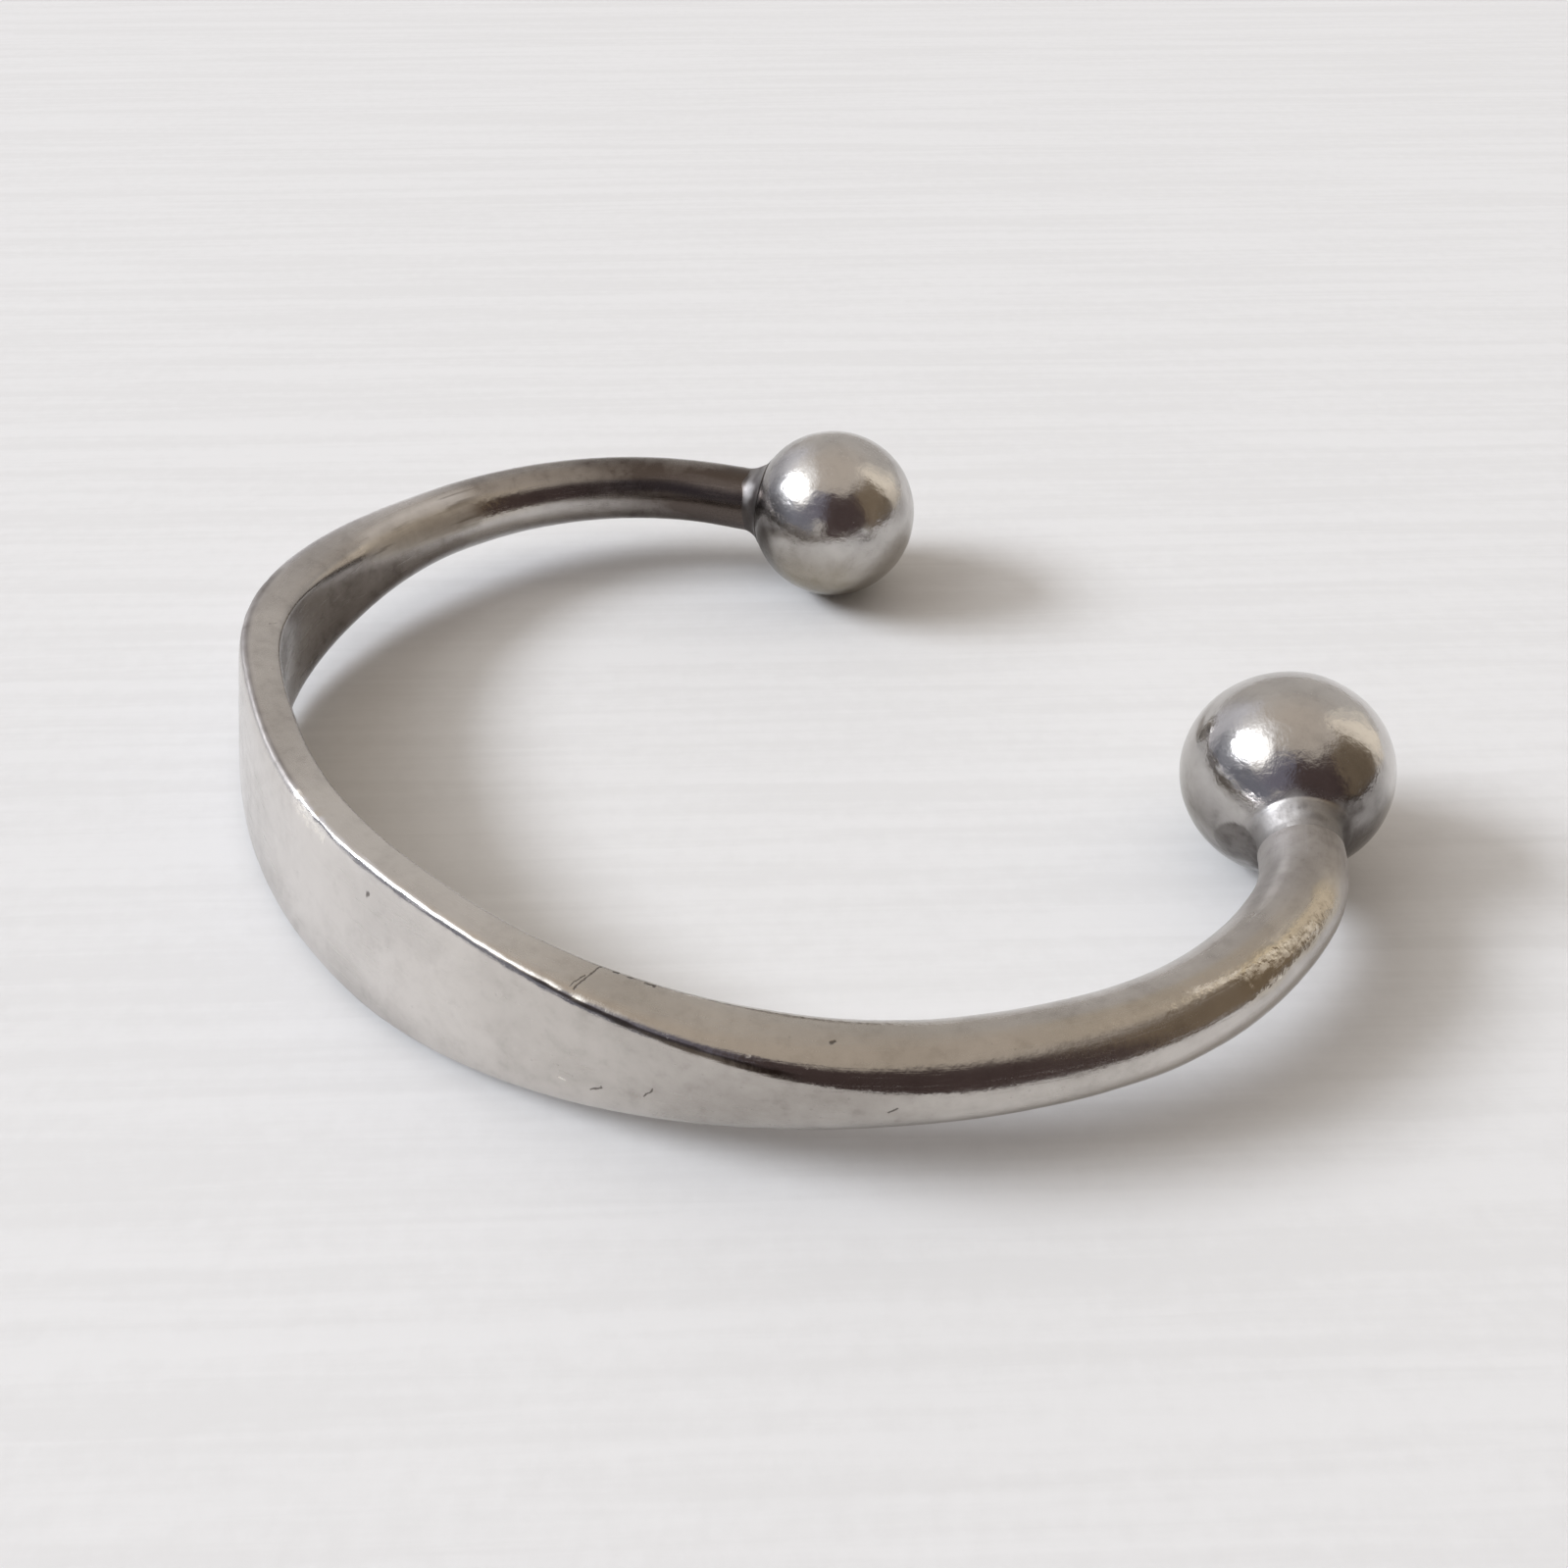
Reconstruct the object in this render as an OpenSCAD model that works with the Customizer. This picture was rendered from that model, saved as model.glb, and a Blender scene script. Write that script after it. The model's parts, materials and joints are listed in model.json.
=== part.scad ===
// Ball-ended key ring: an open ring bent from one bar, with a ball on each end.
// The front of the bar is hammered into a tall thin plate, and each side of the
// plate tapers into a round arm. The left ball is soldered on a tenon. The right
// ball unscrews from a threaded stud, so that keys can go onto the arm.
// The ring lies flat on its two balls and the lower edge of the plate. +Z is up,
// the plate faces -Y, the gap between the balls opens towards +Y, and the origin
// is under the middle of the whole ring. All sizes are in millimetres.

/* [Balls] */
// Diameter of each ball
ball_d = 10; // [9:0.5:11]
// Radius of the hollow curve between an arm and its ball
fillet_r = 1.3; // [0.8:0.1:1.4]
// How far the neck of a ball stands out from the ball
neck_l = 0.6; // [0.5:0.1:0.8]

/* [Section of the bar] */
// Height of the plate
plate_h = 7.8; // [6.5:0.1:8.5]
// Thickness of the plate
plate_t = 2.1; // [1.6:0.1:2.8]
// How far the top of the plate leans into the ring, in degrees
plate_lean = 16.5; // [0:0.5:20]
// How square the section of the plate is (2 is an ellipse)
plate_squareness = 8; // [4:1:10]
// Diameter of the arms where the plate ends
arm_d = 4.1; // [3.9:0.1:4.6]
// Diameter of the arms at the balls
arm_end_d = 3.8; // [3.7:0.1:4.2]

/* [Bends] */
// Radius of the plate's curve
plate_r = 32; // [28:1:36]
// Radius of the bend between the plate and the left arm
shoulder_r = 14.8; // [13:0.2:17]
// Radius of both arms
arm_r = 18; // [16.5:0.5:20]
// Radius of the last bend before the right ball
end_bend_r = 7; // [6.5:0.5:9]

/* [Lengths along the bar] */
// Right side: from the plate's centre to the arm's tighter curve
right_plate_l = 40.7; // [39:0.1:42]
// Right side: length of the arm's curve
right_arm_l = 11.2; // [10:0.1:13]
// Right side: length of the last bend
right_bend_l = 3.4; // [3:0.1:4]
// Right side: straight length up to the ball's centre
right_tail_l = 6; // [6:0.1:7]
// Left side: from the plate's centre to the shoulder bend
left_plate_l = 11.3; // [10:0.1:13]
// Left side: length of the shoulder bend
left_shoulder_l = 8.4; // [7:0.1:10]
// Left side: length of the arm's curve
left_arm_l = 28.6; // [27:0.1:30]
// Left side: straight length up to the ball's centre
left_tail_l = 8; // [7.9:0.1:9]

/* [Taper from plate to arm] */
// Right side: where the plate starts to taper
right_taper_start = 7; // [4:0.5:10]
// Right side: where the bar has become a round arm
right_taper_end = 34; // [30:0.5:38]
// Left side: where the plate starts to taper
left_taper_start = 5; // [3:0.5:8]
// Left side: where the bar has become a round arm
left_taper_end = 31.5; // [28:0.5:34]

/* [Solder joint of the left ball] */
// Diameter of the tenon turned on the left arm's end
tenon_d = 3; // [2.5:0.1:3.2]
// How deep the tenon goes into the ball
tenon_l = 3.5; // [2.5:0.1:4]

/* [Screw joint of the right ball] */
// Outside diameter of the stud's thread
stud_d = 2.5; // [2:0.1:2.5]
// Pitch of the thread
thread_pitch = 0.45; // [0.4:0.05:0.5]
// Length of the stud inside the arm
stud_root_l = 2.4; // [2:0.1:2.5]
// Length of the stud that stands out of the arm
stud_reach = 4.4; // [4:0.1:4.5]
// Outside diameter of the threaded bush inside the ball
bush_d = 3.2; // [3.1:0.05:3.2]
// Space between the stud and the bush, on the radius
thread_gap = 0.05; // [0.03:0.01:0.08]
// Space between the bush and the ball, on the radius
bush_gap = 0.03; // [0.01:0.01:0.05]

/* [Hidden] */

// Fineness: sides of a section, length of a step along the bar, facets of round parts
sides = 32;
step_l = 1.3;
round_fn = 96;
fillet_steps = 10;

ball_r = ball_d / 2;
arm_end_r = arm_end_d / 2;
tenon_r = tenon_d / 2;
stud_r = stud_d / 2;
bush_r = bush_d / 2;
// Distance from a ball's centre to the face of its neck
neck_z = ball_r + neck_l;
// Distance from the left ball's centre to the shoulder of its tenon
shoulder_z = sqrt(ball_r * ball_r - tenon_r * tenon_r) + 0.08;
// Length over which one curve of the bar runs into the next
blend_l = 5;
// The same, where the last right bend runs into the straight end
end_blend_l = 0.8;
// Squareness of a round arm's section
round_squareness = 2;
// The plate stays thin for this much longer than it stays tall
thin_extra_l = 3;
// Depth of the thread, as a part of its pitch
thread_depth = 0.6 * thread_pitch;
// Length of the bush, and how much deeper the ball's bore goes
bush_l = stud_reach + 0.2;
bore_extra_l = 0.1;
// The hairline seam between the arm's end and the neck of the right ball
seam_gap = 0.04;
// How far a cutting or joining solid runs past a face
past = 0.5;

// Each half of the bar, from the plate's centre: [curvature, length, blend into the next]
right_runs = [
    [1 / plate_r, right_plate_l, blend_l],
    [1 / arm_r, right_arm_l, end_blend_l],
    [1 / end_bend_r, right_bend_l, end_blend_l],
    [0, right_tail_l, 0]
];
left_runs = [
    [1 / plate_r, left_plate_l, blend_l],
    [1 / shoulder_r, left_shoulder_l, blend_l],
    [1 / arm_r, left_arm_l, blend_l],
    [0, left_tail_l, 0]
];

// Smooth step from 0 at a to 1 at b
function smooth(x, a, b) = let (u = min(1, max(0, (x - a) / (b - a)))) u * u * (3 - 2 * u);

// Length of the first n runs
function reach(runs, n) = n == 0 ? 0 : runs[n - 1][1] + reach(runs, n - 1);

// Area under a smooth step of width b centred on e, up to s
function step_area(s, e, b) =
    let (u = min(1, max(0, (s - e) / b + 0.5)))
    b * (pow(u, 3) - pow(u, 4) / 2) + max(0, s - e - b / 2);

// Heading of the bar in degrees, s along one half: 0 at the plate, turning into the ring
function heading(runs, s, n = 1) =
    n == len(runs)
        ? runs[0][0] * s * 180 / PI
        : heading(runs, s, n + 1)
            + (runs[n][0] - runs[n - 1][0]) * step_area(s, reach(runs, n), runs[n - 1][2]) * 180 / PI;

// Points [x, y, heading, s] along one half, up to the distance cut before the ball's centre
function half_path(runs, cut) =
    let (
        whole = reach(runs, len(runs)) - cut,
        n = ceil(whole / step_l),
        ds = whole / n,
        turn = [for (i = [0 : n]) heading(runs, i * ds)]
    )
    [for (
        i = 0, x = 0, y = 0;
        i <= n;
        x = x + (i < n ? (cos(turn[i]) + cos(turn[i + 1])) * ds / 2 : 0),
        y = y + (i < n ? (sin(turn[i]) + sin(turn[i + 1])) * ds / 2 : 0),
        i = i + 1
    ) [x, y, turn[i], i * ds]];

right_path = half_path(right_runs, neck_z);
left_path = half_path(left_runs, shoulder_z);

// Diameter of the round bar: it tapers over the second half of each side, up to its tail
function round_d(s, whole, tail) =
    arm_d + (arm_end_d - arm_d) * min(1, max(0, (s - whole / 2) / (whole / 2 - tail)));

// One section of the bar: side is 1 on the right and -1 on the left
function section(p, side, whole, tail, t0, t1) =
    let (
        s = p[3],
        flat = 1 - smooth(s, t0, t1),
        thin = 1 - smooth(s, t0 + thin_extra_l, t1),
        d = round_d(s, whole, tail),
        half_h = (d + (plate_h - d) * flat) / 2,
        half_t = (d + (plate_t - d) * thin) / 2,
        power = 2 / (round_squareness + (plate_squareness - round_squareness) * flat),
        lean = plate_lean * flat,
        z = ball_r - plate_drop * (1 - min(1, s / (whole - tail)))
    )
    [for (k = [0 : sides - 1])
        let (
            a = 360 * (k + 0.5) / sides,
            u = half_t * sign(cos(a)) * pow(abs(cos(a)), power),
            v = half_h * sign(sin(a)) * pow(abs(sin(a)), power),
            out = u * cos(lean) - v * sin(lean),
            up = u * sin(lean) + v * cos(lean)
        )
        [side * (p[0] + out * sin(p[2])), p[1] - out * cos(p[2]), z + up]
    ];

// The plate hangs lower than the balls' centres, so that its lower edge touches the ground
plate_low = max([for (k = [0 : sides - 1])
    let (a = 360 * (k + 0.5) / sides, power = 2 / plate_squareness)
    plate_t / 2 * sign(cos(a)) * pow(abs(cos(a)), power) * sin(plate_lean)
        + plate_h / 2 * sign(sin(a)) * pow(abs(sin(a)), power) * cos(plate_lean)
]);
plate_drop = ball_r - plate_low;

right_whole = reach(right_runs, len(right_runs));
left_whole = reach(left_runs, len(left_runs));
right_sections = [for (p = right_path)
    section(p, 1, right_whole, right_tail_l, right_taper_start, right_taper_end)];
left_sections = [for (p = left_path)
    section(p, -1, left_whole, left_tail_l, left_taper_start, left_taper_end)];
// All the sections, from the right end round to the left end
sections = concat(
    [for (i = [len(right_sections) - 1 : -1 : 0]) right_sections[i]],
    [for (i = [1 : len(left_sections) - 1]) left_sections[i]]
);
bow_points = [for (ring = sections) each ring];
last_ring = (len(sections) - 1) * sides;
bow_faces = concat(
    [[for (k = [0 : sides - 1]) k]],
    [[for (k = [sides - 1 : -1 : 0]) last_ring + k]],
    [for (i = [0 : len(sections) - 2], k = [0 : sides - 1])
        let (a = i * sides + k, b = i * sides + (k + 1) % sides)
        [a, a + sides, b + sides, b]]
);

// Last point of a half, and the ball's centre beyond it
right_end = right_path[len(right_path) - 1];
left_end = left_path[len(left_path) - 1];
right_ball = [
    right_end[0] + neck_z * cos(right_end[2]),
    right_end[1] + neck_z * sin(right_end[2])
];
left_ball = [
    -left_end[0] - shoulder_z * cos(left_end[2]),
    left_end[1] + shoulder_z * sin(left_end[2])
];

// Middle of the whole ring in plan
low_x = min(min([for (p = bow_points) p[0]]), left_ball[0] - ball_r);
high_x = max(max([for (p = bow_points) p[0]]), right_ball[0] + ball_r);
low_y = min([for (p = bow_points) p[1]]);
high_y = max(max([for (p = bow_points) p[1]]), left_ball[1] + ball_r, right_ball[1] + ball_r);
middle = [(low_x + high_x) / 2, (low_y + high_y) / 2, 0];

// A ball's own frame: its centre at the origin, its arm along -Z
module at_right_ball() {
    translate([right_ball[0], right_ball[1], ball_r] - middle)
        rotate([0, 90, right_end[2]])
            children();
}

module at_left_ball() {
    translate([left_ball[0], left_ball[1], ball_r] - middle)
        rotate([0, 90, 180 - left_end[2]])
            children();
}

// Outline [radius, z] of the hollow curve from an arm's end out onto its ball
function fillet_curve() =
    let (
        centre_r = arm_end_r + fillet_r,
        centre_z = sqrt(pow(ball_r + fillet_r, 2) - pow(centre_r, 2)),
        sweep = atan2(centre_z, centre_r)
    )
    [for (i = [0 : fillet_steps])
        let (a = sweep * i / fillet_steps)
        [centre_r - fillet_r * cos(a), fillet_r * sin(a) - centre_z]
    ];

module bow() {
    color([0.68, 0.66, 0.64])
        difference() {
            union() {
                translate(-middle)
                    polyhedron(points = bow_points, faces = bow_faces, convexity = 4);
                at_left_ball()
                    translate([0, 0, -shoulder_z - past])
                        cylinder(r = tenon_r, h = tenon_l + past, $fn = round_fn);
            }
            at_right_ball()
                translate([0, 0, -neck_z - stud_root_l])
                    cylinder(r = stud_r, h = stud_root_l + past, $fn = round_fn);
        }
}

module fixed_ball() {
    color([0.72, 0.7, 0.68])
        at_left_ball()
            difference() {
                sphere(r = ball_r, $fn = round_fn);
                translate([0, 0, -ball_r - past])
                    cylinder(r = tenon_r, h = ball_r + past - shoulder_z + tenon_l, $fn = round_fn);
            }
}

// The ring of solder that fills the corner between the left arm and its ball
module ball_solder() {
    curve = fillet_curve();
    // Where the solder's inner and outer edges lie on the ball, as angles from the arm
    inner_a = asin(tenon_r / ball_r);
    outer_a = acos(-curve[fillet_steps][1] / ball_r);
    // The corners stand just clear of the ball, so that the straight steps touch it
    seat_r = ball_r / cos((outer_a - inner_a) / fillet_steps / 2);
    seat = [for (i = [0 : fillet_steps])
        let (a = inner_a + (outer_a - inner_a) * i / fillet_steps)
        [seat_r * sin(a), -seat_r * cos(a)]];
    color([0.8, 0.78, 0.74])
        at_left_ball()
            rotate_extrude($fn = round_fn)
                polygon(concat(
                    [[arm_end_r, -shoulder_z], [tenon_r, -shoulder_z]],
                    seat,
                    [for (i = [fillet_steps - 1 : -1 : 0]) curve[i]]
                ));
}

// A plain root soldered into the arm, and a threaded end that stands out of it
module threaded_stud() {
    turns = floor(stud_reach / thread_pitch);
    tip = stud_reach - neck_z;
    core_r = stud_r - thread_depth;
    grooves = [for (i = [0 : turns - 1], step = [0.1, 0.5, 0.9])
        [step == 0.5 ? core_r : stud_r, (i + step) * thread_pitch - neck_z]];
    color([0.55, 0.54, 0.52])
        at_right_ball()
            rotate_extrude($fn = round_fn)
                polygon(concat(
                    [[0, tip], [0, -neck_z - stud_root_l], [stud_r, -neck_z - stud_root_l]],
                    grooves,
                    [[core_r, tip]]
                ));
}

// The threaded tube inside the right ball
module thread_bush() {
    color([0.78, 0.62, 0.34])
        at_right_ball()
            translate([0, 0, seam_gap - neck_z])
                difference() {
                    cylinder(r = bush_r, h = bush_l, $fn = round_fn);
                    translate([0, 0, -past])
                        cylinder(r = stud_r + thread_gap, h = bush_l + 2 * past, $fn = round_fn);
                }
}

// The right ball and its neck, bored for the bush
module screw_ball() {
    color([0.72, 0.7, 0.68])
        at_right_ball()
            difference() {
                union() {
                    sphere(r = ball_r, $fn = round_fn);
                    rotate_extrude($fn = round_fn)
                        polygon(concat(
                            [[0, past - ball_r], [0, seam_gap - neck_z], [arm_end_r, seam_gap - neck_z]],
                            fillet_curve()
                        ));
                }
                translate([0, 0, seam_gap - neck_z - past])
                    cylinder(r = bush_r + bush_gap, h = bush_l + bore_extra_l + past, $fn = round_fn);
            }
}

bow();
fixed_ball();
ball_solder();
threaded_stud();
thread_bush();
screw_ball();
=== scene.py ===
"""Looks of the ball-ended key ring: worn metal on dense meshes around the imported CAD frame."""
import json
from math import acos, asin, atan2, cos, degrees, pi, radians, sin, sqrt

import bmesh
import bpy
import numpy as np
from mathutils import Matrix, Vector


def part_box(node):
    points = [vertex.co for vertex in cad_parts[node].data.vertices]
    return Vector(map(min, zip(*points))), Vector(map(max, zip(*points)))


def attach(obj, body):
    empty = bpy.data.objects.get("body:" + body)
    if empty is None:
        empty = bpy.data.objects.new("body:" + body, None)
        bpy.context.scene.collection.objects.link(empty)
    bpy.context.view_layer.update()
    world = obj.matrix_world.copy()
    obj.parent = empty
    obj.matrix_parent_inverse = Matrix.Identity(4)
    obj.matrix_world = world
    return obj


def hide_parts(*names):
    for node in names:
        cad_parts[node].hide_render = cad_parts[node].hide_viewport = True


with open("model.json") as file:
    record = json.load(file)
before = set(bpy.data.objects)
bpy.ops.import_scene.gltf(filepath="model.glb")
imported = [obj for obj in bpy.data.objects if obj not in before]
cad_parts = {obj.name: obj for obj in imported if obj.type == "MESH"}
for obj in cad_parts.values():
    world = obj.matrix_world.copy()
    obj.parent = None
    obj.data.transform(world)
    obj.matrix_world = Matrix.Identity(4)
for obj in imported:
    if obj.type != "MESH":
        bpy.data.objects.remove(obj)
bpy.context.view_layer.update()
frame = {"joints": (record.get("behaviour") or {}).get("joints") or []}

MM = 0.001
rng = np.random.default_rng(11)

# ---------------------------------------------------------------- sizes of the ring, in mm
BALL_R = 5.0
PLATE_H = 7.8
PLATE_T = 2.1
PLATE_LEAN = radians(16.5)
PLATE_SQUARE = 8.0  # the power of the plate's squared oval, 2 being a plain one
ARM_D = 4.1
ARM_END_D = 3.8
ARM_END_R = ARM_END_D / 2
NECK_Z = 5.6        # from the right ball's centre to its arm's end
TENON_R = 1.5
TENON_L = 3.5
SHOULDER_Z = sqrt(BALL_R ** 2 - TENON_R ** 2) + 0.08  # from the left ball's centre to its arm's end
FILLET_R = 1.3
STUD_R = 1.25
STUD_ROOT_L = 2.4   # inside the arm
STUD_REACH = 4.4    # beyond the arm's end
PITCH = 0.45
BUSH_R = 1.6
BUSH_L = 4.6
SEAM = 0.012        # the gap between the right arm and the ball's neck
CHAMFER = 0.006     # on both edges of the seam
CLEARANCE = 0.03    # of the bush in its bore
THREAD_DEPTH = 0.27
BUSH_CREST_R = 1.30
BUSH_ROOT_R = 1.48
BUSH_END_R = 1.42   # where its thread runs out
SOLDER_TUCK = 0.12  # how deep the solder's hidden side lies in the arm and the ball
DENT = 0.05         # how far a ball may sink here and there
# Each half of the bar from the plate's centre: curvature, length, blend into the next run
RIGHT_RUNS = ((1 / 32, 40.7, 5), (1 / 18, 11.2, 0.8), (1 / 7, 3.4, 0.8), (0, 6, 0))
LEFT_RUNS = ((1 / 32, 11.3, 5), (1 / 14.8, 8.4, 5), (1 / 18, 28.6, 5), (0, 8, 0))
# Where the plate starts to turn into the round arm, and where it has
RIGHT_TAPER = (7, 34)
LEFT_TAPER = (5, 31.5)
THIN_EXTRA = 3      # how much later it starts to thicken
# The straight end of each arm, which keeps its size and height
RIGHT_TAIL = 6
LEFT_TAIL = 8

STEP = 0.2          # distance between sections of the bar
AROUND = 128        # points round a section
BALL_COUNT = 160    # points round a ball
SOLDER_COUNT = 128  # points round the solder
SOLDER_STEPS = 20   # steps across the solder's fillet
THREAD_COUNT = 72   # points round a thread
THREAD_STEPS = 14   # rings in one pitch of a thread

# Colours of the yellow film (also a painted warm reflection of the floor low on the balls), pits, dark
# nicks and bright nicks (also painted highlight on the near arm's beaten patch)
FILM_AND_WARM_REFLECTION = (0.50, 0.42, 0.27, 1)
PIT = (0.10, 0.085, 0.075, 1)
CRACK = (0.06, 0.045, 0.038, 1)
WORN_BRIGHT_AND_HIGHLIGHT = (0.90, 0.86, 0.79, 1)
WAVE = 0.12         # how far the nicks wander off their lines, in mm
BUMP_DEPTH = 0.006 * MM


# ---------------------------------------------------------------- small tools
def smooth(x, a, b):
    """0 at a, 1 at b, with no corner at either."""
    u = np.clip((x - a) / (b - a), 0, 1)
    return u * u * (3 - 2 * u)


TABLE = rng.uniform(-1, 1, (32, 32, 32))


def lumps(points, cell, seed=0):
    """Smooth random numbers from -1 to 1 at points in mm, which change over about cell mm, one size or
    three. seed moves them, so that each use has its own."""
    q = points / np.array(cell, float) + seed * 7.31
    base = np.floor(q).astype(int)
    f = q - base
    f = f * f * (3 - 2 * f)
    out = np.zeros(q.shape[:-1])
    for i in (0, 1):
        for j in (0, 1):
            for k in (0, 1):
                w = (f[..., 0] if i else 1 - f[..., 0]) * (f[..., 1] if j else 1 - f[..., 1])
                w = w * (f[..., 2] if k else 1 - f[..., 2])
                cell_at = (base + np.array([i, j, k])) % 32
                out += w * TABLE[cell_at[..., 0], cell_at[..., 1], cell_at[..., 2]]
    return out


def skin(rings, loop=False, start_cap=True, end_cap=True):
    """Points and faces of a surface through rings of equal length. Caps close the ends with a fan."""
    m, n = rings.shape[:2]
    points = rings.reshape(-1, 3)
    faces = []
    for i in range(m if loop else m - 1):
        a, b = i * n, (i + 1) % m * n
        faces += [(a + k, a + (k + 1) % n, b + (k + 1) % n, b + k) for k in range(n)]
    extra = []
    if not loop and start_cap:
        extra.append(rings[0].mean(0))
        c = len(points) + len(extra) - 1
        faces += [(c, (k + 1) % n, k) for k in range(n)]
    if not loop and end_cap:
        extra.append(rings[-1].mean(0))
        c = len(points) + len(extra) - 1
        faces += [(c, (m - 1) * n + k, (m - 1) * n + (k + 1) % n) for k in range(n)]
    if extra:
        points = np.vstack([points, extra])
    return points, faces


def piece(name, points, faces, bar, finish_and_painted_light=None, sharp=40):
    """A mesh object from points in mm. bar holds each point's coordinates on a straight bar or in a
    ball's frame, and finish its tarnish, film and dullness, with painted dark and warm reflections
    mixed into the tarnish and the film. Both are for the material."""
    mesh = bpy.data.meshes.new(name)
    mesh.from_pydata((points * MM).tolist(), [], faces)
    mesh.update()
    own = mesh.attributes.new("bar", "FLOAT_VECTOR", "POINT")
    own.data.foreach_set("vector", bar.astype(np.float32).ravel())
    tint = mesh.attributes.new("finish_and_painted_light", "FLOAT_COLOR", "POINT")
    colours = np.zeros((len(points), 4), np.float32)
    if finish_and_painted_light is not None:
        colours[:, :3] = finish_and_painted_light
    tint.data.foreach_set("color", colours.ravel())
    obj = bpy.data.objects.new(name, mesh)
    bpy.context.scene.collection.objects.link(obj)
    mesh.shade_smooth()
    mark_sharp(mesh, radians(sharp))
    return obj


def mark_sharp(mesh, angle):
    """Marks the edges between faces that meet at more than angle, so that they shade as edges."""
    bm = bmesh.new()
    bm.from_mesh(mesh)
    bmesh.ops.recalc_face_normals(bm, faces=bm.faces)
    for edge in bm.edges:
        edge.smooth = len(edge.link_faces) == 2 and edge.calc_face_angle() < angle
    bm.to_mesh(mesh)
    bm.free()


# ---------------------------------------------------------------- the bar's line and section
def step_area(s, e, b):
    """The sum up to s of a step from 0 to 1 at e that is smoothed over b."""
    u = np.clip((s - e) / b + 0.5, 0, 1)
    return b * (u ** 3 - u ** 4 / 2) + np.maximum(0, s - e - b / 2)


def half_line(runs, cut):
    """s, x, y and heading along one half of the bar, from the plate's centre."""
    whole = sum(run[1] for run in runs)
    s = np.linspace(0, whole - cut, int((whole - cut) / STEP) + 1)
    turn = runs[0][0] * s
    end = 0
    for (k0, length, blend), (k1, _, _) in zip(runs[:-1], runs[1:]):
        end += length
        turn = turn + (k1 - k0) * step_area(s, end, blend)
    x = np.concatenate([[0], np.cumsum((np.cos(turn[1:]) + np.cos(turn[:-1])) * s[1] / 2)])
    y = np.concatenate([[0], np.cumsum((np.sin(turn[1:]) + np.sin(turn[:-1])) * s[1] / 2)])
    return s, x, y, turn, whole


def oval(half_t, half_h, power, count=AROUND, fine=1440):
    """Points of a squared oval, closer together at its corners, from the outer side over the top."""
    a = 2 * pi * np.arange(fine + 1) / fine
    u = half_t * np.sign(np.cos(a)) * np.abs(np.cos(a)) ** power
    v = half_h * np.sign(np.sin(a)) * np.abs(np.sin(a)) ** power
    du, dv = np.diff(u), np.diff(v)
    length = np.hypot(du, dv)
    way = np.unwrap(np.arctan2(dv, du))
    bend = np.concatenate([[0], np.cumsum(np.abs(np.diff(way))), [2 * pi]])
    run = np.concatenate([[0], np.cumsum(length)])
    # Points are shared out partly by length and partly by how far the outline turns
    q = 0.55 * run / run[-1] + 0.45 * bend / bend[-1]
    want = np.arange(count) / count
    return np.interp(want, q, u), np.interp(want, q, v)


def lowest_of_plate():
    """How far the leaning plate reaches below its middle."""
    u, v = oval(PLATE_T / 2, PLATE_H / 2, 2 / PLATE_SQUARE, 512)
    return (u * sin(PLATE_LEAN) + v * cos(PLATE_LEAN)).max()


PLATE_DROP = BALL_R - lowest_of_plate()


def half_sections(line, side, taper, tail):
    """Rings of points along one half, in place, and the same rings on a straight bar."""
    s, x, y, turn, whole = line
    flat = 1 - smooth(s, *taper)
    thin = 1 - smooth(s, taper[0] + THIN_EXTRA, taper[1])
    d = ARM_D + (ARM_END_D - ARM_D) * np.clip((s - whole / 2) / (whole / 2 - tail), 0, 1)
    half_h = (d + (PLATE_H - d) * flat) / 2
    half_t = (d + (PLATE_T - d) * thin) / 2
    power = 2 / (2 + (PLATE_SQUARE - 2) * flat)
    lean = PLATE_LEAN * flat
    z = BALL_R - PLATE_DROP * (1 - np.minimum(1, s / (whole - tail)))
    rings, straight = [], []
    for i in range(len(s)):
        u, v = oval(half_t[i], half_h[i], power[i])
        out = u * cos(lean[i]) - v * sin(lean[i])
        up = u * sin(lean[i]) + v * cos(lean[i])
        rings.append(np.stack([side * (x[i] + out * sin(turn[i])),
                               y[i] - out * cos(turn[i]), z[i] + up], -1))
        straight.append(np.stack([np.full(AROUND, side * s[i]), u, v], -1))
    return np.array(rings), np.array(straight)


right_line = half_line(RIGHT_RUNS, NECK_Z)
left_line = half_line(LEFT_RUNS, SHOULDER_Z)
right_turn = right_line[3][-1]
left_turn = left_line[3][-1]
left_ball_flat = Vector((-left_line[1][-1] - SHOULDER_Z * cos(left_turn),
                         left_line[2][-1] + SHOULDER_Z * sin(left_turn), 0))
lo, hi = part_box("fixed_ball")
left_ball = (lo + hi) / 2 / MM
turn_joint = next(j for j in frame["joints"] if j["name"] == "ball_turn")
right_ball = Vector(turn_joint["pos_m"]) / MM
SHIFT = np.array([left_ball.x - left_ball_flat.x, left_ball.y - left_ball_flat.y, 0])


def at_ball(centre, heading):
    """The frame of a ball: its centre at the origin and its arm along -Z, as in the CAD."""
    turned = Matrix.Rotation(heading, 3, "Z") @ Matrix.Rotation(pi / 2, 3, "Y")
    m = np.array(turned)
    c = np.array(centre)
    return lambda p: p @ m.T + c


at_right = at_ball(right_ball, right_turn)
at_left = at_ball(left_ball, pi - left_turn)


# ---------------------------------------------------------------- turned pieces
def circle_rings(profile, count):
    """Rings round Z from (radius, z) pairs."""
    a = 2 * pi * np.arange(count) / count
    r, z = np.array(profile).T
    return np.stack([r[:, None] * np.cos(a), r[:, None] * np.sin(a),
                     np.repeat(z[:, None], count, 1)], -1)


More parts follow.
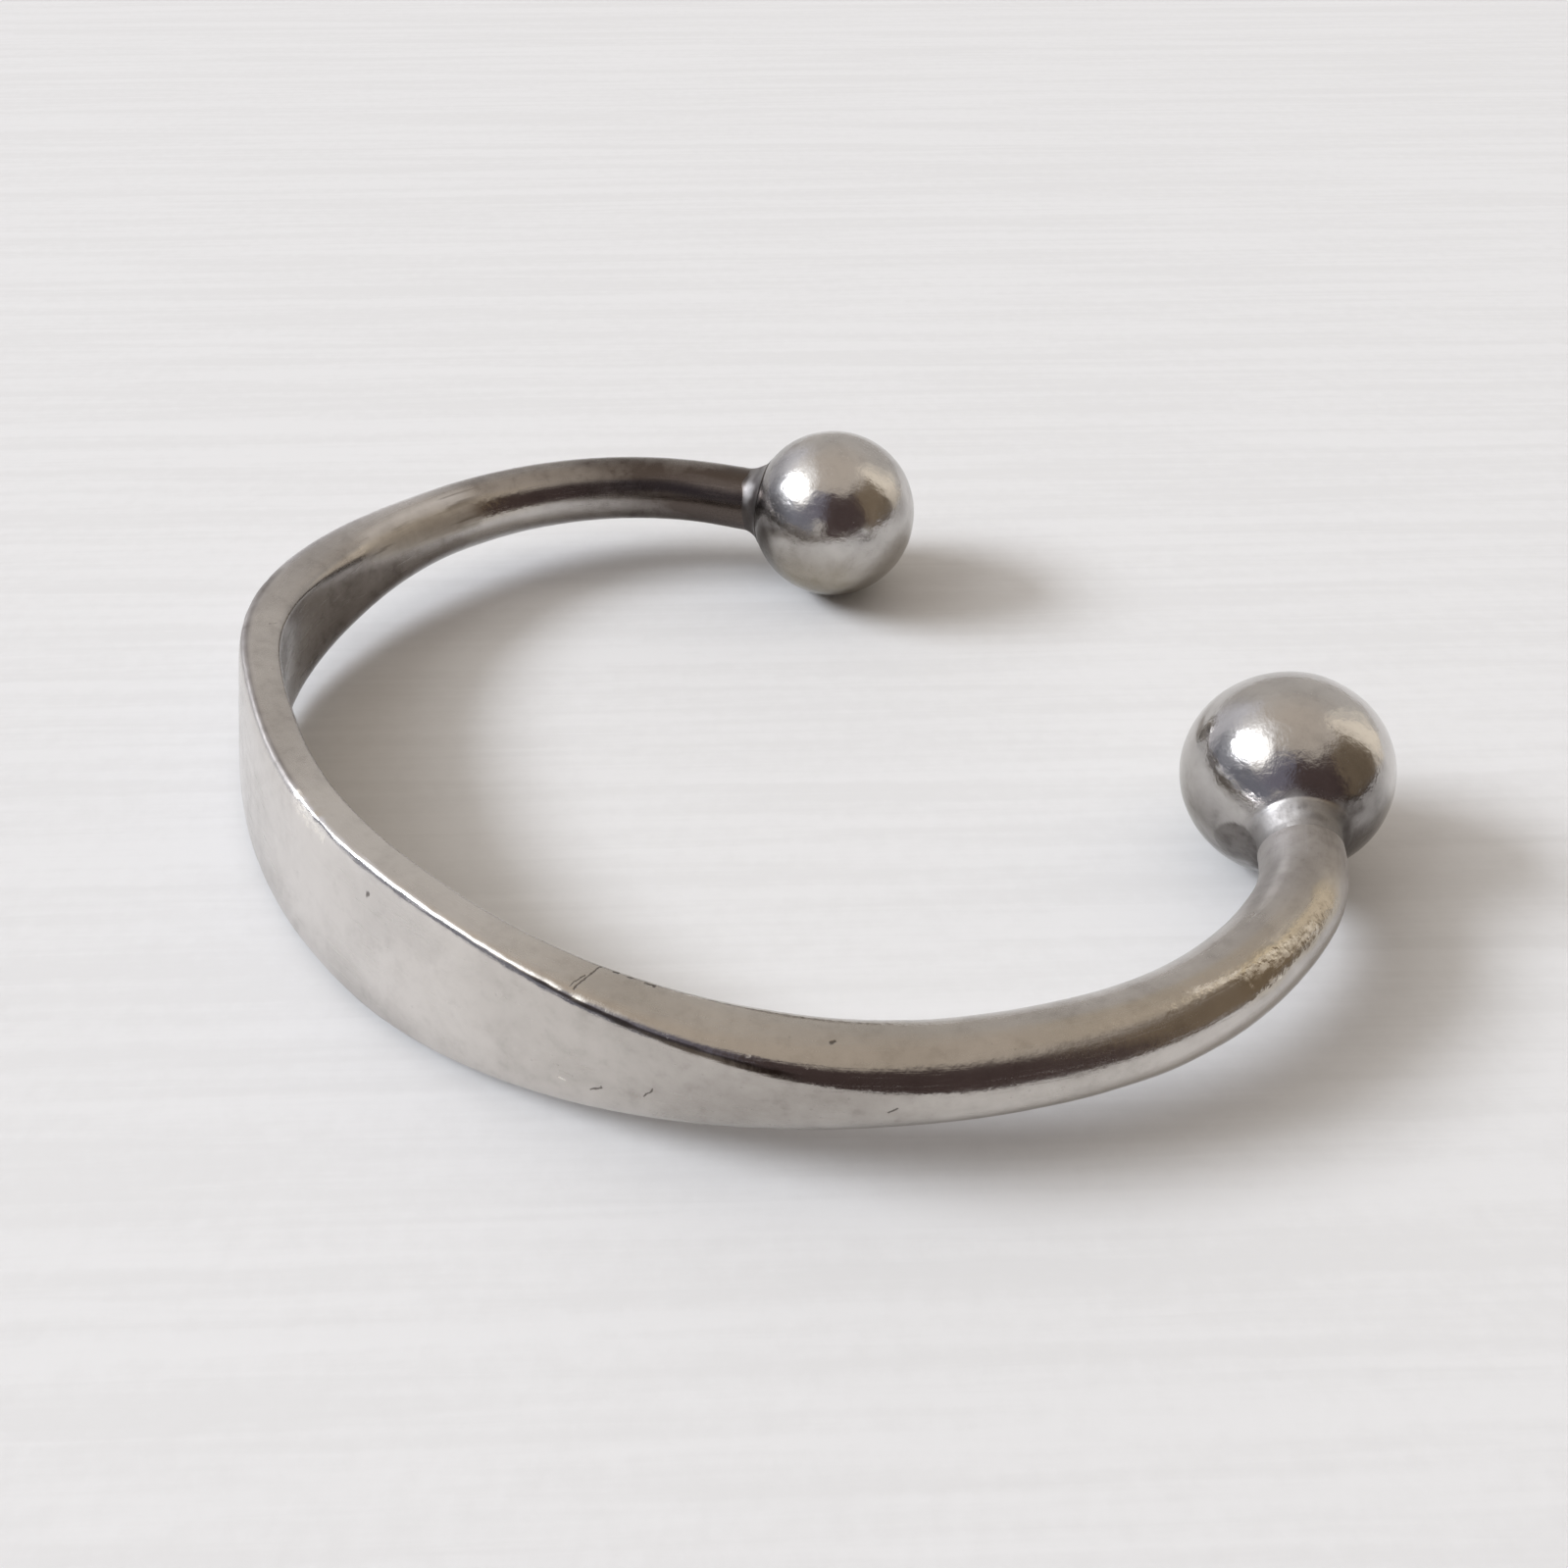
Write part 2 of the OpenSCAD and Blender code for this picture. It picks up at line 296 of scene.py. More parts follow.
def fillet(radius, count=16):
    """(radius, z) pairs of the hollow curve from an arm's end out onto the ball."""
    c_r = ARM_END_R + radius
    c_z = sqrt((BALL_R + radius) ** 2 - c_r ** 2)
    sweep = atan2(c_z, c_r)
    return [(c_r - radius * cos(sweep * i / count), radius * sin(sweep * i / count) - c_z)
            for i in range(count + 1)]


# ---------------------------------------------------------------- materials
def nodes_of(name):
    material = bpy.data.materials.new(name)
    material.use_nodes = True
    tree = material.node_tree
    return material, tree, tree.nodes["Principled BSDF"]


class Graph:
    """Short ways to add nodes to a tree."""

    def __init__(self, tree):
        self.tree = tree

    def node(self, kind, **settings):
        n = self.tree.nodes.new(kind)
        for key, value in settings.items():
            setattr(n, key, value)
        return n

    def put(self, socket, value):
        if hasattr(value, "is_linked") or hasattr(value, "links"):
            self.tree.links.new(value, socket)
        else:
            socket.default_value = value

    def math(self, op, a, b=0.0, c=0.0, clamp=False):
        n = self.node("ShaderNodeMath", operation=op, use_clamp=clamp)
        for socket, value in zip(n.inputs, (a, b, c)):
            self.put(socket, value)
        return n.outputs[0]

    def ramp(self, x, a, b, lo=0.0, hi=1.0):
        """lo where x is a, hi where x is b, smooth between and held beyond."""
        n = self.node("ShaderNodeMapRange", interpolation_type="SMOOTHSTEP")
        for socket, value in zip(n.inputs, (x, a, b, lo, hi)):
            self.put(socket, value)
        return n.outputs[0]

    def scaled(self, vector, by):
        n = self.node("ShaderNodeVectorMath", operation="MULTIPLY")
        self.put(n.inputs[0], vector)
        self.put(n.inputs[1], by)
        return n.outputs[0]

    def noise(self, vector, scale, detail=4.0, rough=0.55, distortion=0.0):
        n = self.node("ShaderNodeTexNoise")
        self.put(n.inputs["Vector"], vector)
        n.inputs["Scale"].default_value = scale
        n.inputs["Detail"].default_value = detail
        n.inputs["Roughness"].default_value = rough
        n.inputs["Distortion"].default_value = distortion
        return n.outputs[0]

    def stroke(self, point, start, end, width):
        """1 on the line from start to end and 0 further from it than width. Depth below or above the
        line counts for less, because the surface there isn't quite flat."""
        on_top = abs(start[2]) > abs(start[1]) * 1.3
        squeeze = Vector((1, 1, 0.3)) if on_top else Vector((1, 0.3, 1))
        point = self.scaled(point, squeeze)
        start, end = Vector(start) * squeeze, Vector(end) * squeeze
        way = end - start
        run = self.node("ShaderNodeVectorMath", operation="SUBTRACT")
        self.put(run.inputs[0], point)
        self.put(run.inputs[1], start)
        share = self.node("ShaderNodeVectorMath", operation="DOT_PRODUCT")
        self.put(share.inputs[0], run.outputs[0])
        self.put(share.inputs[1], way / max(way.length_squared, 1e-9))
        held = self.math("MULTIPLY", share.outputs["Value"], 1.0, clamp=True)
        nearest = self.node("ShaderNodeVectorMath", operation="SCALE")
        self.put(nearest.inputs[0], way)
        self.put(nearest.inputs["Scale"], held)
        off = self.node("ShaderNodeVectorMath", operation="DISTANCE")
        self.put(off.inputs[0], run.outputs[0])
        self.put(off.inputs[1], nearest.outputs[0])
        return self.ramp(off.outputs["Value"], 0.4 * width, width, 1.0, 0.0)

    def wavy_stroke(self, point, start, end, width):
        """A stroke for points that were moved by noise from 0 to 2 * WAVE, which is WAVE on average."""
        start = [value + WAVE for value in start]
        end = [value + WAVE for value in end]
        return self.stroke(point, start, end, width)

    def mix(self, factor, a, b):
        n = self.node("ShaderNodeMix", data_type="RGBA")
        self.put(n.inputs[0], factor)
        self.put(n.inputs[6], a)
        self.put(n.inputs[7], b)
        return n.outputs[2]


def metal(name, tone, dark, rough, wear=1.0, scratch=1.0, ripple=0.0, hammered=0.0,
          marks=(), chips_and_highlights=()):
    """Worn solid metal: cloudy tone, fine scratches along the bar and small pits. The finish
    attribute gives tarnish, film and dullness from place to place; its tarnish also holds painted dark
    reflections, and its film a painted warm reflection. marks are dark nicks, and chips are bright
    ones, some of them painted highlight."""
    material, tree, shader = nodes_of(name)
    g = Graph(tree)
    own = g.node("ShaderNodeAttribute", attribute_name="bar").outputs["Vector"]
    finish_and_painted_light = g.node("ShaderNodeAttribute", attribute_name="finish_and_painted_light").outputs["Color"]
    split = g.node("ShaderNodeSeparateColor")
    g.put(split.inputs[0], finish_and_painted_light)
    tarnish_and_dark_reflection, film_and_warm_reflection, dull = split.outputs[0], split.outputs[1], split.outputs[2]

    clouds = g.noise(own, 0.22, 5.0, 0.6, 0.4)
    mottle = g.noise(own, 1.3, 4.0, 0.6)
    hair = g.noise(g.scaled(own, (0.35, 7.0, 7.0)), 1.0, 3.0, 0.6)
    cross = g.noise(g.scaled(own, (9.0, 0.9, 0.9)), 1.0, 2.0, 0.5)
    grain = g.noise(own, 14.0, 3.0, 0.6)
    pit_field = g.node("ShaderNodeTexVoronoi", feature="F1")
    g.put(pit_field.inputs["Vector"], own)
    pit_field.inputs["Scale"].default_value = 1.1
    pits = g.ramp(pit_field.outputs["Distance"], 0.03, 0.09, 1.0, 0.0)

    cracks, bright_and_highlight = 0.0, 0.0
    if marks or chips_and_highlights:
        bent = g.node("ShaderNodeVectorMath", operation="MULTIPLY_ADD")
        wobble = g.node("ShaderNodeTexNoise")
        g.put(wobble.inputs["Vector"], own)
        wobble.inputs["Scale"].default_value = 3.0
        g.put(bent.inputs[0], wobble.outputs["Color"])
        g.put(bent.inputs[1], (2 * WAVE, 2 * WAVE, 2 * WAVE))
        g.put(bent.inputs[2], own)
        for start, end, width in marks:
            cracks = g.math("MAXIMUM", g.wavy_stroke(bent.outputs[0], start, end, width), cracks)
        for start, end, width in chips_and_highlights:
            bright_and_highlight = g.math("MAXIMUM", g.wavy_stroke(bent.outputs[0], start, end, width), bright_and_highlight)
        streaky = g.noise(g.scaled(own, (2.4, 5.0, 5.0)), 1.0, 3.0, 0.6)
        bright_and_highlight = g.math("MULTIPLY", bright_and_highlight, g.ramp(streaky, 0.30, 0.68))

    stain_and_dark_reflection = g.math("MULTIPLY", g.ramp(clouds, 0.42, 0.68), 0.45 * wear)
    stain_and_dark_reflection = g.math("MULTIPLY_ADD", g.ramp(mottle, 0.5, 0.72), 0.22 * wear, stain_and_dark_reflection)
    ragged = g.math("MULTIPLY_ADD", g.math("SUBTRACT", mottle, 0.5), 0.22, tarnish_and_dark_reflection)
    ragged = g.math("MULTIPLY", ragged, g.ramp(tarnish_and_dark_reflection, 0.0, 0.12), clamp=True)
    stain_and_dark_reflection = g.math("ADD", stain_and_dark_reflection, ragged, clamp=True)
    base = g.mix(stain_and_dark_reflection, (*tone, 1), (*dark, 1))
    base = g.mix(g.math("MULTIPLY", film_and_warm_reflection, 0.8), base, FILM_AND_WARM_REFLECTION)
    base = g.mix(g.math("MULTIPLY", pits, 0.6 * wear), base, PIT)
    base = g.mix(g.math("MULTIPLY", cracks, 0.75), base, CRACK)
    base = g.mix(bright_and_highlight, base, WORN_BRIGHT_AND_HIGHLIGHT)
    g.put(shader.inputs["Base Color"], base)
    shader.inputs["Metallic"].default_value = 1.0

    r = g.ramp(clouds, 0.35, 0.7, rough[0], rough[1])
    r = g.math("MULTIPLY_ADD", g.ramp(grain, 0.4, 0.7), 0.07, r)
    r = g.math("MULTIPLY_ADD", g.ramp(hair, 0.52, 0.7), 0.10 * scratch, r)
    r = g.math("MULTIPLY_ADD", bright_and_highlight, 0.22, r)
    r = g.math("MULTIPLY_ADD", dull, 0.5, r, clamp=True)
    g.put(shader.inputs["Roughness"], r)

    height = g.math("MULTIPLY", g.ramp(hair, 0.5, 0.75), -0.5 * scratch)
    height = g.math("MULTIPLY_ADD", g.ramp(cross, 0.6, 0.8), -0.25 * scratch, height)
    height = g.math("MULTIPLY_ADD", grain, 0.35, height)
    height = g.math("MULTIPLY_ADD", pits, -2.0 * wear, height)
    beaten = g.noise(own, 3.2, 2.0, 0.5)
    height = g.math("MULTIPLY_ADD", g.math("MULTIPLY", beaten, film_and_warm_reflection), hammered, height)
    height = g.math("MULTIPLY_ADD", cracks, -4.0, height)
    height = g.math("MULTIPLY_ADD", g.noise(own, 1.6, 3.0, 0.55), ripple, height)
    bump = g.node("ShaderNodeBump")
    bump.inputs["Strength"].default_value = 0.55
    bump.inputs["Distance"].default_value = BUMP_DEPTH
    g.put(bump.inputs["Height"], height)
    g.put(shader.inputs["Normal"], bump.outputs[0])
    return material


# Nicks and scratches on the bow, as start, end and width, in mm along the bar, outwards and up
BAR_MARKS = (
    ((18.55, 0.85, 3.05), (18.95, -0.90, 3.06), 0.07),
    ((18.40, 0.75, 3.10), (18.62, -0.10, 3.16), 0.05),
    ((19.55, -0.88, 2.98), (19.72, -0.88, 2.97), 0.11),
    ((20.30, -0.86, 2.94), (20.42, -0.88, 2.90), 0.10),
    ((21.10, -0.86, 2.85), (21.40, -0.88, 2.81), 0.11),
    ((28.86, 0.20, 2.20), (28.96, 0.16, 2.20), 0.12),
    ((19.48, 1.39, -1.56), (19.98, 1.42, -1.14), 0.06),
    ((21.73, 1.53, -0.98), (22.12, 1.56, -0.38), 0.05),
    ((30.99, 2.00, 0.16), (31.30, 1.99, 0.42), 0.07),
    ((7.42, 1.05, 2.44), (7.58, 1.05, 2.58), 0.07),
    ((-12.9, -0.80, 3.20), (-12.7, -0.35, 3.40), 0.05),
    ((-14.3, -0.80, 3.20), (-14.0, -0.30, 3.36), 0.05),
    ((-9.6, -0.80, 3.55), (-9.5, -0.40, 3.68), 0.04),
)
BAR_CHIPS_AND_HIGHLIGHTS = (
    ((0.80, 0.80, 3.72), (1.50, 0.92, 3.68), 0.30),
    ((1.60, 0.95, 3.66), (2.60, 1.00, 3.56), 0.22),
    ((2.80, 1.00, 3.50), (3.90, 1.02, 3.40), 0.14),
    ((18.10, 1.32, -1.52), (18.36, 1.33, -1.52), 0.07),
    ((22.64, 1.22, 2.54), (22.68, 1.24, 2.50), 0.08),
    ((25.72, 1.27, 2.20), (25.76, 1.24, 2.22), 0.09),
    ((27.96, 1.32, 1.96), (27.98, 1.33, 1.92), 0.07),
    # The chips below, on the near arm's beaten patch, are bright worn specks that also serve as painted
    # highlight
    ((43.4, 0.38, 1.94), (46.2, 0.78, 1.78), 0.16),
    ((46.0, 0.86, 1.76), (48.6, 1.12, 1.60), 0.38),
    ((48.4, 1.10, 1.60), (50.3, 1.28, 1.46), 0.32),
    ((46.95, 1.52, 1.22), (47.45, 1.57, 1.14), 0.14),
    ((45.98, 1.34, 1.42), (46.02, 1.34, 1.42), 0.12),
)
BAR = metal("bar_metal", (0.725, 0.695, 0.665), (0.110, 0.090, 0.080), (0.11, 0.20), 0.28, ripple=2.0,
            hammered=20.0, marks=BAR_MARKS, chips_and_highlights=BAR_CHIPS_AND_HIGHLIGHTS)
BALL = metal("ball_metal", (0.620, 0.600, 0.580), (0.130, 0.118, 0.110), (0.10, 0.17), 0.35,
             scratch=0.5, ripple=9.0)
SOLDER = metal("solder_metal", (0.50, 0.485, 0.475), (0.10, 0.088, 0.082), (0.20, 0.30), 0.5,
               scratch=0.3)
STUD = metal("stud_metal", (0.50, 0.48, 0.45), (0.26, 0.24, 0.22), (0.26, 0.40), scratch=0.3)
BUSH = metal("bush_metal", (0.70, 0.52, 0.26), (0.40, 0.28, 0.13), (0.24, 0.38), scratch=0.3)


def place(obj, body, node, material):
    """Gives a piece its material and its body, and hides the CAD node that it stands for."""
    obj.data.materials.append(material)
    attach(obj, body)
    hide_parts(node)
    return obj


# ---------------------------------------------------------------- the bow
right_rings, right_bar = half_sections(right_line, 1, RIGHT_TAPER, RIGHT_TAIL)
left_rings, left_bar = half_sections(left_line, -1, LEFT_TAPER, LEFT_TAIL)
rings = np.concatenate([right_rings[::-1], left_rings[1:]])
bar = np.concatenate([right_bar[::-1], left_bar[1:]])
rings = rings + SHIFT

along = np.gradient(rings, axis=0)
across = (np.roll(rings, -1, 1) - np.roll(rings, 1, 1)) / 2
normal = np.cross(across, along)
normal /= np.linalg.norm(normal, axis=-1, keepdims=True)
centres = rings.mean(1, keepdims=True)
if ((rings - centres) * normal).sum() < 0:
    normal = -normal

s_at = bar[..., 0]
# Which way each point of the section faces, in degrees: 0 outwards, 90 up, 180 inwards, 270 down
along_u = np.roll(bar[..., 1], -1, 1) - np.roll(bar[..., 1], 1, 1)
along_v = np.roll(bar[..., 2], -1, 1) - np.roll(bar[..., 2], 1, 1)
facing = np.degrees(np.arctan2(-along_u, along_v)) % 360


def facing_near(middle, half_width, soft):
    """1 where the section faces within half_width of middle, in degrees, and 0 past soft more."""
    off = np.abs((facing - middle + 180) % 360 - 180)
    return 1 - smooth(off, half_width, half_width + soft)


def between(a, b, soft=1.0):
    """1 along the bar from a to b."""
    return smooth(s_at, a - soft, a + soft) * (1 - smooth(s_at, b - soft, b + soft))


sink = 0.035 * (1 + lumps(bar, (5.0, 2.2, 2.2), 1)) / 2
sink = sink + 0.02 * (1 + lumps(bar, (1.8, 1.3, 1.3), 2)) / 2
top_edge = facing_near(45, 22, 30) * between(-20, 22, 3)
sink = sink + 0.035 * top_edge * np.maximum(0, lumps(bar, (0.6, 0.6, 0.6), 3))
chipped = facing_near(50, 34, 22) * between(0.9, 3.9, 0.6)
sink = sink + 0.09 * chipped * (1 + lumps(bar, (0.42, 0.42, 0.42), 10)) / 2
fade = smooth(s_at, -51.3, -47) * (1 - smooth(s_at, 49, 54.9))
rings = rings - normal * (sink * fade)[..., None]

# How tarnished each side of the bar is, as (facing, ((mm along it, amount), ...)): heaviest near the
# left ball and inside the left shoulder
SIDES = (
    (0, ((-52, 0.60), (-30, 0.50), (-20, 0.25), (-10, 0.14), (4, 0.04), (12, 0.03), (20, 0.22),
         (30, 0.56), (34, 0.34), (37, 0.18), (42, 0.22), (50, 0.32), (55, 0.40))),
    (90, ((-52, 0.80), (-49.5, 0.95), (-46, 0.88), (-42, 0.80), (-37, 0.62), (-32, 0.40),
          (-29, 0.14), (-26, 0.26), (-22, 0.46), (-19, 0.34), (-14, 0.16), (-5, 0.28), (1, 0.10),
          (8, 0.02), (15, 0.02), (20, 0.20), (30, 0.33), (36, 0.35), (40, 0.22), (45, 0.30),
          (50, 0.42), (55, 0.46))),
    (180, ((-52, 0.80), (-49.5, 0.97), (-46, 0.88), (-41, 0.58), (-36, 0.30), (-33, 0.26),
           (-29, 0.68), (-19, 0.68), (-14, 0.58), (-8, 0.50), (20, 0.35), (34, 0.20), (45, 0.20),
           (51, 0.48), (55, 0.50))),
    (270, ((-52, 0.92), (-44, 0.96), (-36, 0.96), (-30, 0.76), (-15, 0.45), (20, 0.40),
           (36, 0.50), (55, 0.50))),
)
weights = [np.maximum(0, np.cos(np.radians(facing - middle))) ** 2 for middle, _ in SIDES]
tarnish_and_dark_reflection = sum(weight * np.interp(s_at, *zip(*stops)) for weight, (_, stops) in zip(weights, SIDES))
tarnish_and_dark_reflection = tarnish_and_dark_reflection + 0.14 * smooth(-bar[..., 2], 1.2, 3.4) * between(-12, 14, 4)
tarnish_and_dark_reflection = tarnish_and_dark_reflection * (1 + 0.22 * lumps(bar, (6.0, 2.0, 2.0), 12) + 0.12 * lumps(bar, (1.6, 1.0, 1.0), 13))
# A crisp dark line along the plate's upper outer edge, painted as a dark reflection of the room, and a
# dull edge on its left part
dark_reflection_width = np.interp(s_at, (16, 19, 24, 30), (3, 5, 6, 5))
dark_reflection_width = dark_reflection_width * (1 + 0.45 * lumps(bar, (0.7, 2.0, 2.0), 14))
dark_reflection_line = facing_near(31, dark_reflection_width, 5) * between(16, 28, 1.5)
dull_edge = facing_near(52, 28, 14) * between(-20, 0.4, 0.8)
tarnish_and_dark_reflection = np.maximum(tarnish_and_dark_reflection, 0.95 * dark_reflection_line)
tarnish_and_dark_reflection = np.maximum(tarnish_and_dark_reflection, 0.62 * dull_edge)
# A beaten patch with a yellow film, on the arm's upper outer side near the right ball
beaten = facing_near(54, 16 + 8 * lumps(bar, (1.2, 1.2, 1.2), 15), 10) * between(45.6, 52.6, 0.7)
film_and_warm_reflection = 0.42 * beaten + 0.35 * facing_near(80, 10, 10) * between(37, 49, 4)
film_and_warm_reflection = film_and_warm_reflection + 0.30 * facing_near(150, 16, 14) * between(-36, -25, 3)
film_and_warm_reflection = film_and_warm_reflection + 0.20 * facing_near(92, 26, 16) * between(16, 36, 5)
film_and_warm_reflection = film_and_warm_reflection + 0.10 * facing_near(5, 45, 20) * between(12, 44, 6)
neck = smooth(s_at, 51.5, 54.5)
neck = np.maximum(neck, 0.7 * facing_near(140, 50, 30) * smooth(s_at, 47.5, 51.0))
tarnish_and_dark_reflection = tarnish_and_dark_reflection * (1 - 0.9 * chipped)
# A worn, streaky patch on the inner shoulder, where the left arm runs into the plate
shoulder = facing_near(136, 26, 18) * between(-32.6, -24.5, 1.0)
shoulder_lines = smooth(lumps(bar, (3.6, 0.20, 0.20), 16), 0.25, 0.55)
tarnish_and_dark_reflection = tarnish_and_dark_reflection * (1 - 0.65 * shoulder) + 0.5 * shoulder * shoulder_lines
dull = 0.7 * neck + 0.7 * dull_edge + 0.05 * weights[1] + 0.12 * weights[2]
dull = dull + 0.75 * shoulder * (1 - 0.35 * shoulder_lines)
tarnish_and_dark_reflection = np.maximum(tarnish_and_dark_reflection, 0.34 * neck)
finish_and_painted_light = np.stack([np.clip(tarnish_and_dark_reflection, 0, 1), np.clip(film_and_warm_reflection, 0, 1), np.clip(dull, 0, 1)], -1)


def closing(ring, straight, steps, ball):
    """Rings that carry an end face in to given radii and distances towards the ball."""
    centre = ring.mean(0)
    flat_mid = straight.mean(0)
    way = np.array(ball) - centre
    way /= np.linalg.norm(way)
    out, own = [], []
    for radius, ahead in steps:
        spread = (ring - centre) / np.linalg.norm(ring - centre, axis=1, keepdims=True)
        out.append(centre + spread * radius + way * ahead)
        own_spread = (straight - flat_mid)
        own_spread = own_spread / np.linalg.norm(own_spread, axis=1, keepdims=True)
        own.append(flat_mid + own_spread * radius)
    return np.array(out), np.array(own)


# (radius, distance towards the ball) of the rings that close the bar's right and left ends
hole = [(ARM_END_R - CHAMFER, 0.0), (STUD_R + 0.05, 0.0), (STUD_R, -0.05), (STUD_R, -STUD_ROOT_L)]
tenon = [(ARM_END_R - 0.06, 0.0), (TENON_R, 0.0), (TENON_R - 0.01, 0.1),
         (TENON_R - 0.01, TENON_L - 0.15), (TENON_R - 0.16, TENON_L)]
hole_rings, hole_bar = closing(rings[0], bar[0], hole, right_ball)
tenon_rings, tenon_bar = closing(rings[-1], bar[-1], tenon, left_ball)
all_rings = np.concatenate([hole_rings[::-1], rings, tenon_rings])
all_bar = np.concatenate([hole_bar[::-1], bar, tenon_bar])
all_finish_and_painted_light = np.concatenate([np.repeat(finish_and_painted_light[:1], len(hole), 0), finish_and_painted_light,
                             np.repeat(finish_and_painted_light[-1:], len(tenon), 0)])
points, faces = skin(all_rings)
bar_points = np.vstack([all_bar.reshape(-1, 3), all_bar[0].mean(0), all_bar[-1].mean(0)])
finish_and_painted_light_points = np.vstack([all_finish_and_painted_light.reshape(-1, 3), all_finish_and_painted_light[0, 0], all_finish_and_painted_light[-1, 0]])
bow = piece("bow_worn", points, faces, bar_points, finish_and_painted_light_points)
place(bow, "ring", "bow", BAR)


# ---------------------------------------------------------------- the balls
def sphere_profile(a0, count):
    """From the angle a0 (degrees from the arm's side) over to the far pole."""
    return [(BALL_R * sin(radians(a)), -BALL_R * cos(radians(a)))
            for a in np.linspace(a0, 179.3, count)]


def turned(name, profile, to_place, dent=0.0, seed=0, joint=0.0, finish_and_painted_light=None):
    """A lathe piece in a ball's frame. dent is how far, in mm, the ball may sink here and there, and
    joint is how far its fillet is filled out."""
    pts, faces = skin(circle_rings(profile, BALL_COUNT))
    local = pts.copy()
    if dent:
        radius = np.linalg.norm(local, axis=1)
        on_ball = np.abs(radius - BALL_R) < 0.02
        drop = dent * (1 + lumps(local, 2.6, seed)) / 2
        drop = drop + 0.3 * dent * (1 + lumps(local, 1.1, seed + 1)) / 2
        local = local * (1 - np.where(on_ball, drop / np.maximum(radius, 1e-6), 0))[:, None]
    if joint:
        x, y, z = local.T
        from_axis = np.maximum(np.hypot(x, y), 1e-6)
        on_fillet = smooth(z, -5.5, -4.95) * (1 - smooth(z, -4.75, -4.25)) * (from_axis > 1.85)
        upward = -x / from_axis      # local -X is up
        sideways = np.abs(y) / from_axis
        uneven = 0.2 + 0.55 * upward - 0.5 * sideways + 0.8 * lumps(local, 0.8, seed + 2)
        local[:, :2] *= (1 + joint * on_fillet * uneven / from_axis)[:, None]
    own = local[:, [2, 0, 1]]
    return piece(name, to_place(local), faces, own, None if finish_and_painted_light is None else finish_and_painted_light(local))


def ball_finish_and_painted_light(local, stains_and_dark_reflections, amounts, neck_reach, haze):
    """The finish of a ball, whose local -X is up and whose -Z side meets the arm. spots are given as
    centre, size, soft edge and amount; some are stains and pits, and some are painted dark reflections.
    amounts are those of the joint, the underside, the left, the right, the side away from the arm and
    the warm film underneath, which is a painted warm reflection of the floor. neck_reach is where the
    joint's stain ends, and haze is the dullness everywhere."""
    joint, under, left, right, back, warm_reflection = amounts
    x, y, z = local.T
    rough_edge = 0.5 * lumps(local, 1.4, 21) + 0.3 * lumps(local, 0.6, 22)
    low_side = smooth(x, -1.6, 2.4) * (1 - 0.6 * smooth(z, 1.5, 4.0))
    # Paler streaks across the darker lower half: painted reflection of the floor near the horizon
    reflection_streaks = np.maximum(0, lumps(local, (0.9, 2.6, 2.6), 23))
    stain_and_dark_reflection = 0.06 + 0.10 * lumps(local, 2.2, 20) + (under - 0.30 * reflection_streaks) * low_side
    stain_and_dark_reflection = stain_and_dark_reflection + left * smooth(y, 1.5, 3.8) * (1 - smooth(z, -2.0, 1.0))
    stain_and_dark_reflection = stain_and_dark_reflection + right * smooth(-y, 0.5, 3.0) * (1 - smooth(z + rough_edge, -4.3, -1.5))
    stain_and_dark_reflection = stain_and_dark_reflection + back * smooth(z, -0.5, 3.5)
    stain_and_dark_reflection = stain_and_dark_reflection + joint * (1 - smooth(z + 0.5 * rough_edge, -4.75, neck_reach))
    for centre, size, soft, amount in stains_and_dark_reflections:
        away = np.linalg.norm(local - np.array(centre), axis=1) + 0.5 * rough_edge
        stain_and_dark_reflection = np.maximum(stain_and_dark_reflection, amount * (1 - smooth(away, size - soft, size + soft)))
    dull = haze + 0.9 * (1 - smooth(z + 0.5 * rough_edge, -4.70, -3.9))
    # The yellow film low on the ball is a painted warm reflection of the floor
    film_and_warm_reflection = warm_reflection * low_side * smooth(z, -4.0, -1.0)
    return np.stack([np.clip(stain_and_dark_reflection, 0, 1), np.clip(film_and_warm_reflection, 0, 1), np.clip(dull, 0, 1)], -1)


def near_finish_and_painted_light(local):
    # The first spot is a painted dark reflection of the arm beside the joint
    stains_and_dark_reflections = (((1.15, 2.45, -4.20), 1.40, 0.12, 0.90), ((-1.9, -2.0, -4.1), 0.60, 0.25, 0.85))
    return ball_finish_and_painted_light(local, stains_and_dark_reflections, (0.50, 0.66, 0.20, 0.66, 0.08, 0.20), -3.9, 0.03)


def far_finish_and_painted_light(local):
    # The first spot is a pit by the joint; the second is a painted dark reflection between the joint and
    # the window's reflection
    stains_and_dark_reflections = (((-2.28, -2.36, -3.74), 0.32, 0.12, 0.95), ((-1.6, -3.7, -2.9), 1.3, 0.9, 0.86),
             ((1.7, -4.4, 0.2), 1.5, 0.7, 0.46), ((-1.9, -1.4, 4.3), 1.1, 0.9, 0.42))
    return ball_finish_and_painted_light(local, stains_and_dark_reflections, (0.74, 0.72, 0.30, 0.30, 0.02, 0.42), -1.6, 0.10)


